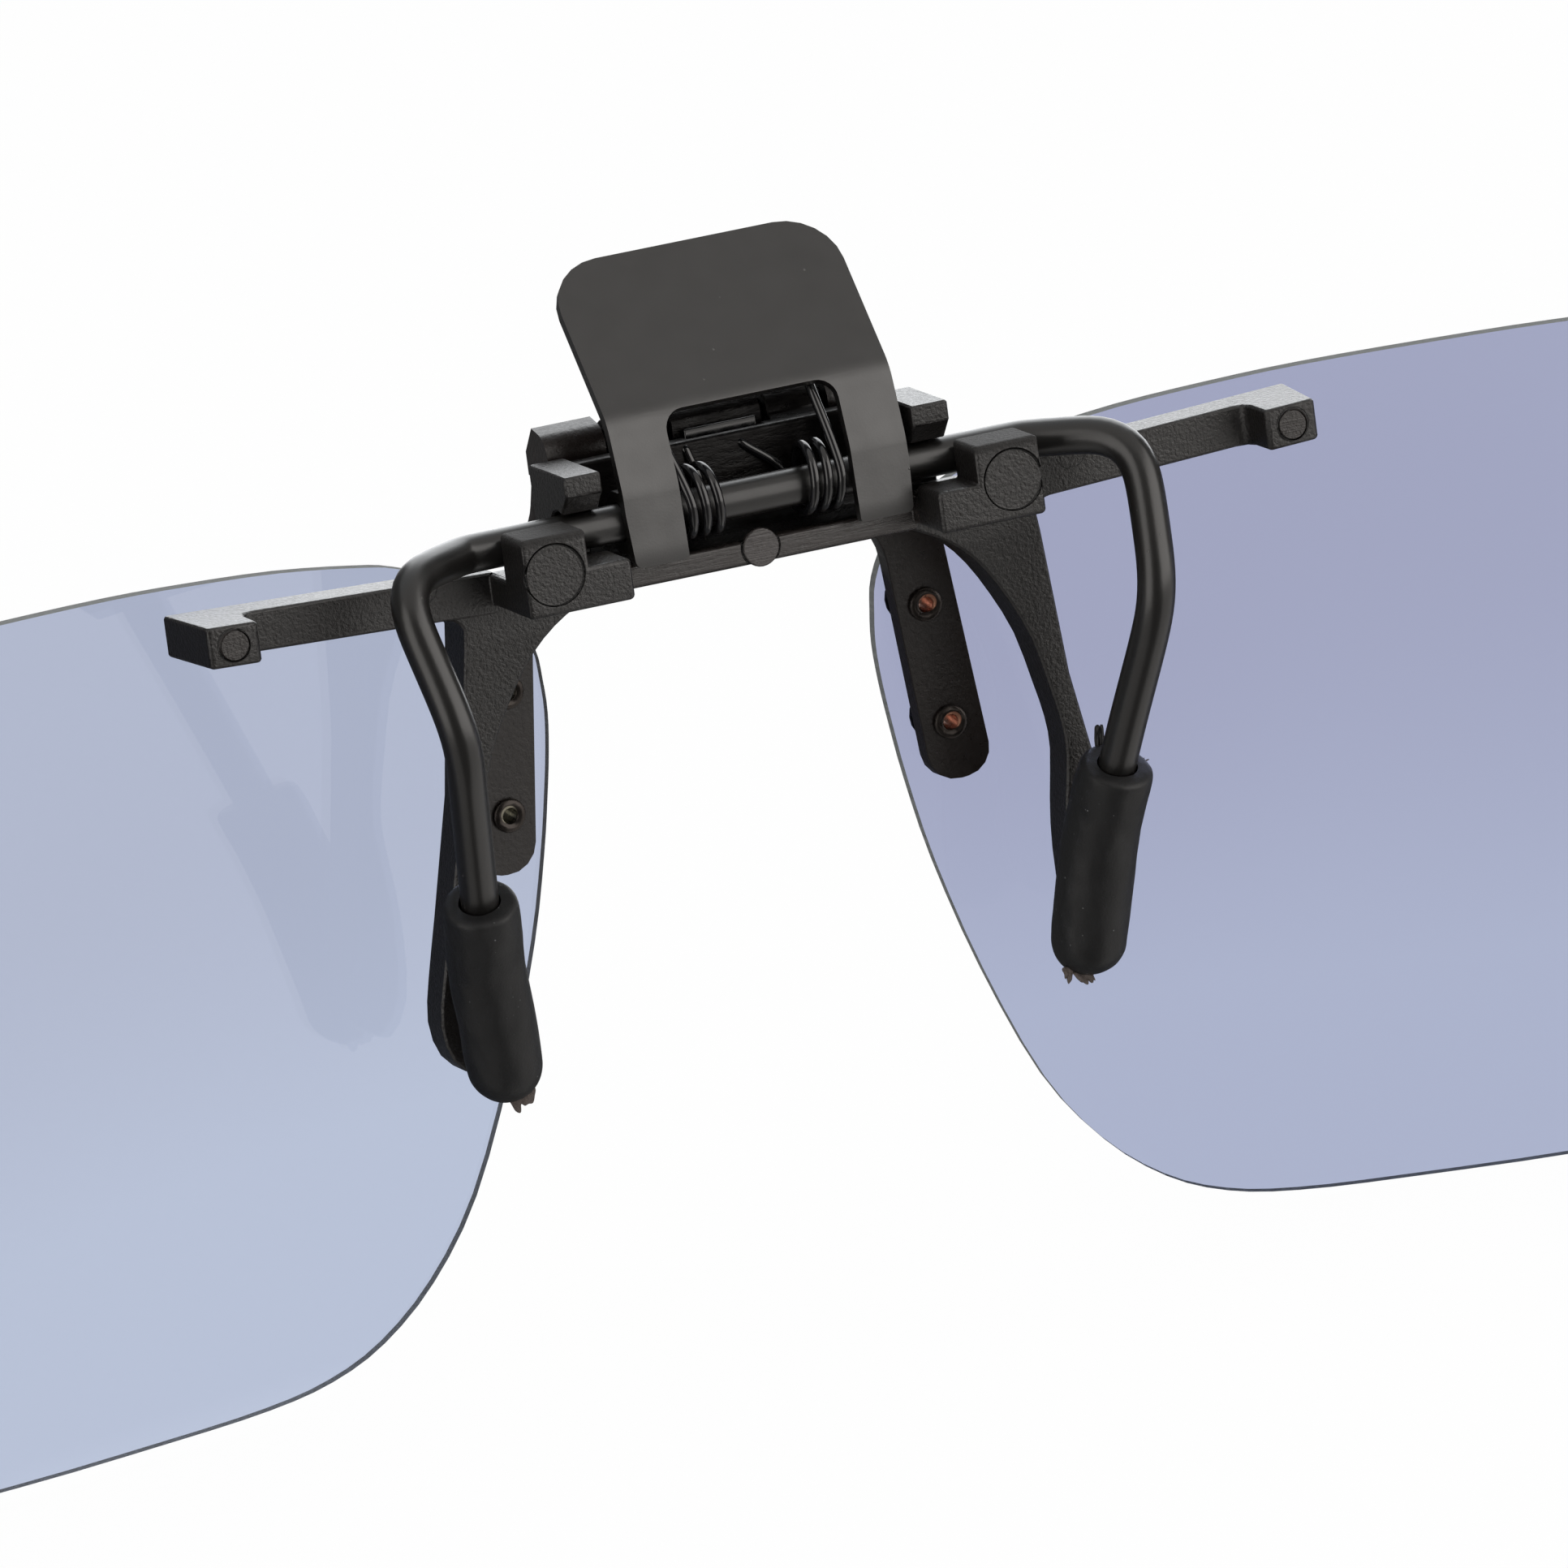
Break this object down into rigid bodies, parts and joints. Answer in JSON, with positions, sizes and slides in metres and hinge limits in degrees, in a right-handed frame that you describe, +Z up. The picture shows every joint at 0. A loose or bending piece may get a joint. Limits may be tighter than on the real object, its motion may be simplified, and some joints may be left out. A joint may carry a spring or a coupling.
{
  "type": "clip-on sunglasses",
  "caption": "Flip-up clip-on sunglasses: a moulded nose clip with a sprung wire claw, thumb tab and rubber sleeves carries rimless tinted lenses on a hinged bridge.",
  "frame": {"origin": "middle of the underside of the clip body's rail, in the plane of the front jaws' clamping faces", "axes": "+X to the wearer's right, +Y forwards away from the wearer, +Z up"},
  "size_m": [0.1355, 0.0166, 0.0496],
  "materials": {
    "body_plastic": "grained satin black moulding",
    "bridge_plastic": "smooth brownish black moulding",
    "painted_steel": "satin black paint",
    "spring_steel": "blackened spring wire",
    "rubber": "matte black rubber",
    "eyelet_metal": "blackened outside, copper coloured bore",
    "lens_tint": "clear blue grey tint, polished"
  },
  "bodies": {
    "clip": {"clip_body": "body_plastic", "flip_hinge_pin": "spring_steel", "detent_leaf": "spring_steel", "left_torsion_spring": "spring_steel", "right_torsion_spring": "spring_steel"},
    "claw_lever": {"claw_wire": "painted_steel", "thumb_tab": "painted_steel", "left_sleeve": "rubber", "right_sleeve": "rubber"},
    "lens_carrier": {"lens_bridge": "bridge_plastic", "left_lens": "lens_tint", "right_lens": "lens_tint", "left_upper_rivet": "eyelet_metal", "left_lower_rivet": "eyelet_metal", "right_upper_rivet": "eyelet_metal", "right_lower_rivet": "eyelet_metal", "left_upper_washer": "bridge_plastic", "left_lower_washer": "bridge_plastic", "right_upper_washer": "bridge_plastic", "right_lower_washer": "bridge_plastic"}
  },
  "joints": [
    {"name": "claw_open", "type": "hinge", "parent": "clip", "child": "claw_lever", "pos_m": [0, -0.0013, 0.00303], "axis": [-1, 0, 0], "range_deg": [0, 20], "stiffness_Nm_per_rad": 0.05, "springref_deg": -37.82, "deforming": ["left_torsion_spring", "right_torsion_spring"]},
    {"name": "lens_flip", "type": "hinge", "parent": "clip", "child": "lens_carrier", "pos_m": [0, 0.00295, 0.00575], "axis": [1, 0, 0], "range_deg": [0, 90]}
  ]
}
